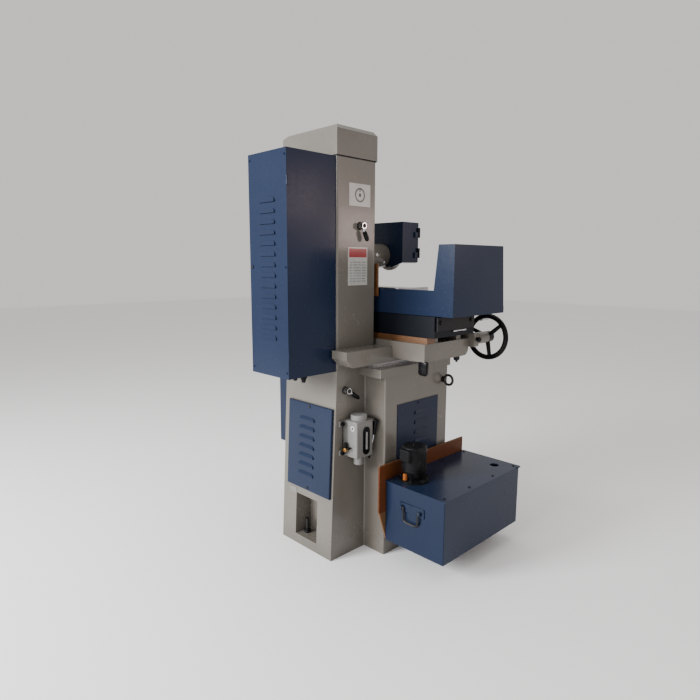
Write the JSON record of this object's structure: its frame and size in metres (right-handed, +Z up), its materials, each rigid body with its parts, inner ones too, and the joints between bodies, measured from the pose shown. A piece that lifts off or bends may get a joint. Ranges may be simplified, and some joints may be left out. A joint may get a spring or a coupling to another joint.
{
  "type": "surface grinder",
  "caption": "Hand-operated surface grinder: column and hollow base, cross saddle, table with splash guard and magnetic chuck, spindle head, coolant tank.",
  "frame": {"origin": "on the floor, at the middle of the base casting's underside between its left and right faces", "axes": "+X the operator's right, +Y the machine's rear (column side), +Z up"},
  "size_m": [1.052, 0.97, 1.7],
  "materials": {
    "grey_paint": "glossy enamel",
    "blue_paint": "semi-gloss enamel",
    "dark_paint": "dark oiled table paint",
    "ground_steel": "ground",
    "dark_steel": "oiled",
    "chromed": "polished",
    "cast_grey": "machined",
    "black_plastic": "moulded",
    "black_gloss": "moulded gloss",
    "clear_grey_plastic": "milky",
    "red_plastic": "moulded",
    "green_plastic": "moulded",
    "label_white": "printed",
    "silver_paint": "silver",
    "brown_way": "oiled way apron",
    "brown_board": "sealed fibreboard",
    "belt_rubber": "moulded",
    "abrasive": "vitrified white aluminium oxide"
  },
  "bodies": {
    "base": {"base_casting": "grey_paint", "column_casting": "grey_paint", "column_cap": "grey_paint", "cross_ways": "ground_steel", "vent_cover_rear": "blue_paint", "vent_covers_side": "blue_paint", "cover_screws": "dark_steel", "levelling_bolts": "dark_steel", "lifting_eyes": "dark_steel", "label_plates": "label_white", "cabinet_body": "blue_paint", "cabinet_hinges": "blue_paint", "switchgear": "black_plastic", "control_box": "blue_paint", "cable_glands": "black_plastic", "lube_pump_body": "silver_paint", "lube_sight_window": "black_gloss", "coolant_tank": "blue_paint", "tank_lid": "blue_paint", "coolant_pump": "black_plastic", "tank_board": "brown_board"},
    "cabinet_door": {"cabinet_door": "blue_paint"},
    "cabinet_latch": {"cabinet_latch": "blue_paint"},
    "start_button": {"start_button": "green_plastic"},
    "stop_button": {"stop_button": "red_plastic"},
    "emergency_button": {"emergency_button": "red_plastic"},
    "selector_knob": {"selector_knob": "black_gloss"},
    "lube_pump_cap": {"lube_pump_cap": "clear_grey_plastic"},
    "lube_pump_lever": {"lube_pump_lever": "black_gloss"},
    "column_clamp_lever": {"column_clamp_lever": "chromed"},
    "base_clamp_lever": {"base_clamp_lever": "chromed"},
    "elevating_wheel": {"elevating_wheel": "black_gloss"},
    "elevating_grip": {"elevating_grip": "black_gloss"},
    "elevating_screw": {"elevating_screw": "dark_steel"},
    "cross_wheel": {"cross_wheel": "black_gloss"},
    "cross_grip": {"cross_grip": "black_gloss"},
    "saddle": {"saddle_casting": "grey_paint", "way_guard": "brown_way", "wheel_bearing": "grey_paint", "drive_belt": "belt_rubber"},
    "table_wheel": {"table_wheel": "black_gloss"},
    "table_grip": {"table_grip": "chromed"},
    "table_pinion": {"table_pinion": "dark_steel"},
    "table": {"table_casting": "dark_paint", "table_rack": "dark_steel", "table_end_plates": "cast_grey", "splash_guard": "blue_paint", "magnetic_chuck": "ground_steel"},
    "chuck_lever": {"chuck_lever": "chromed"},
    "stop_dog_left": {"stop_dog_left": "dark_steel"},
    "stop_dog_right": {"stop_dog_right": "dark_steel"},
    "head": {"head_carriage": "grey_paint", "spindle_housing": "grey_paint", "spindle_motor": "cast_grey", "wheel_guard": "blue_paint", "way_apron": "brown_way"},
    "guard_cover": {"guard_cover": "blue_paint"},
    "spindle": {"spindle": "ground_steel", "grinding_wheel": "abrasive"},
    "tank_handle": {"tank_handle": "dark_steel"}
  },
  "joints": [
    {"name": "table_travel", "type": "slide", "parent": "saddle", "child": "table", "axis": [1, 0, 0], "range_m": [-0.23, 0.23]},
    {"name": "table_wheel_turn", "type": "hinge", "parent": "saddle", "child": "table_wheel", "pos_m": [-0.408, -0.39, 0.882], "axis": [0, 1, 0], "range_deg": [-730, 730]},
    {"name": "table_grip_turn", "type": "hinge", "parent": "table_wheel", "child": "table_grip", "pos_m": [-0.35898, -0.39, 0.95748], "axis": [0, 1, 0], "continuous": true},
    {"name": "pinion_turn", "type": "hinge", "parent": "saddle", "child": "table_pinion", "pos_m": [-0.1, -0.107, 0.8767], "axis": [0, 1, 0], "range_deg": [-730, 730]},
    {"name": "cross_wheel_turn", "type": "hinge", "parent": "base", "child": "cross_wheel", "pos_m": [-0.11, -0.352, 0.695], "axis": [0, 1, 0], "range_deg": [-10820, 20]},
    {"name": "cross_grip_turn", "type": "hinge", "parent": "cross_wheel", "child": "cross_grip", "pos_m": [-0.16142, -0.352, 0.75628], "axis": [0, 1, 0], "continuous": true},
    {"name": "saddle_travel", "type": "slide", "parent": "base", "child": "saddle", "axis": [0, 1, 0], "range_m": [-0.15, 0]},
    {"name": "elevating_wheel_turn", "type": "hinge", "parent": "base", "child": "elevating_wheel", "pos_m": [0.11, -0.352, 0.695], "axis": [0, 1, 0], "range_deg": [-3260, 14420]},
    {"name": "elevating_grip_turn", "type": "hinge", "parent": "elevating_wheel", "child": "elevating_grip", "pos_m": [0.16142, -0.352, 0.75628], "axis": [0, 1, 0], "continuous": true},
    {"name": "elevating_screw_turn", "type": "hinge", "parent": "base", "child": "elevating_screw", "pos_m": [0.11, 0.15, 1], "axis": [0, 0, 1], "range_deg": [-3260, 14420]},
    {"name": "head_travel", "type": "slide", "parent": "base", "child": "head", "axis": [0, 0, 1], "range_m": [-0.045, 0.2]},
    {"name": "spindle_turn", "type": "hinge", "parent": "head", "child": "spindle", "pos_m": [0, -0.203, 1.229], "axis": [0, 1, 0], "continuous": true},
    {"name": "guard_cover_hinge", "type": "hinge", "parent": "head", "child": "guard_cover", "pos_m": [-0.124, -0.254, 1.29], "axis": [0, 0, -1], "range_deg": [0, 110]},
    {"name": "cabinet_door_hinge", "type": "hinge", "parent": "base", "child": "cabinet_door", "pos_m": [-0.1533, 0.5015, 1.18], "axis": [0, 0, 1], "range_deg": [0, 110]},
    {"name": "cabinet_latch_turn", "type": "hinge", "parent": "cabinet_door", "child": "cabinet_latch", "pos_m": [0.062, 0.5, 1.18], "axis": [0, 1, 0], "range_deg": [0, 90]},
    {"name": "start_press", "type": "slide", "parent": "base", "child": "start_button", "axis": [0, 1, 0], "range_m": [0, 0.0035], "stiffness_N_per_m": 400},
    {"name": "stop_press", "type": "slide", "parent": "base", "child": "stop_button", "axis": [0, 1, 0], "range_m": [0, 0.0035], "stiffness_N_per_m": 400},
    {"name": "emergency_press", "type": "slide", "parent": "base", "child": "emergency_button", "axis": [0, 1, 0], "range_m": [0, 0.006]},
    {"name": "selector_turn", "type": "hinge", "parent": "base", "child": "selector_knob", "pos_m": [0.321, -0.053, 0.578], "axis": [0, 1, 0], "range_deg": [-45, 45]},
    {"name": "lube_cap_turn", "type": "hinge", "parent": "base", "child": "lube_pump_cap", "pos_m": [-0.194, 0.186, 0.58], "axis": [0, 0, 1], "continuous": true},
    {"name": "lube_lever_pull", "type": "hinge", "parent": "base", "child": "lube_pump_lever", "pos_m": [-0.208, 0.133, 0.446], "axis": [0, -1, 0], "range_deg": [0, 45]},
    {"name": "column_clamp_turn", "type": "hinge", "parent": "base", "child": "column_clamp_lever", "pos_m": [-0.157, 0.15, 1.338], "axis": [1, 0, 0], "range_deg": [-45, 45]},
    {"name": "base_clamp_turn", "type": "hinge", "parent": "base", "child": "base_clamp_lever", "pos_m": [-0.157, 0.228, 0.698], "axis": [1, 0, 0], "range_deg": [-45, 45]},
    {"name": "chuck_lever_turn", "type": "hinge", "parent": "table", "child": "chuck_lever", "pos_m": [0.225, -0.103, 1.046], "axis": [1, 0, 0], "range_deg": [0, 170]},
    {"name": "left_dog_slide", "type": "slide", "parent": "table", "child": "stop_dog_left", "axis": [1, 0, 0], "range_m": [-0.12, 0.15]},
    {"name": "right_dog_slide", "type": "slide", "parent": "table", "child": "stop_dog_right", "axis": [1, 0, 0], "range_m": [-0.15, 0.12]},
    {"name": "tank_handle_swing", "type": "hinge", "parent": "base", "child": "tank_handle", "pos_m": [-0.425, 0.133, 0.252], "axis": [1, 0, 0], "range_deg": [0, 90]}
  ],
  "couplings": [
    {"joint": "table_wheel_turn", "follows": "table_travel", "rad_per_m": 50},
    {"joint": "pinion_turn", "follows": "table_travel", "rad_per_m": 50},
    {"joint": "cross_wheel_turn", "follows": "saddle_travel", "rad_per_m": 1256.6},
    {"joint": "elevating_wheel_turn", "follows": "head_travel", "rad_per_m": 1256.6},
    {"joint": "elevating_screw_turn", "follows": "head_travel", "rad_per_m": 1256.6}
  ]
}
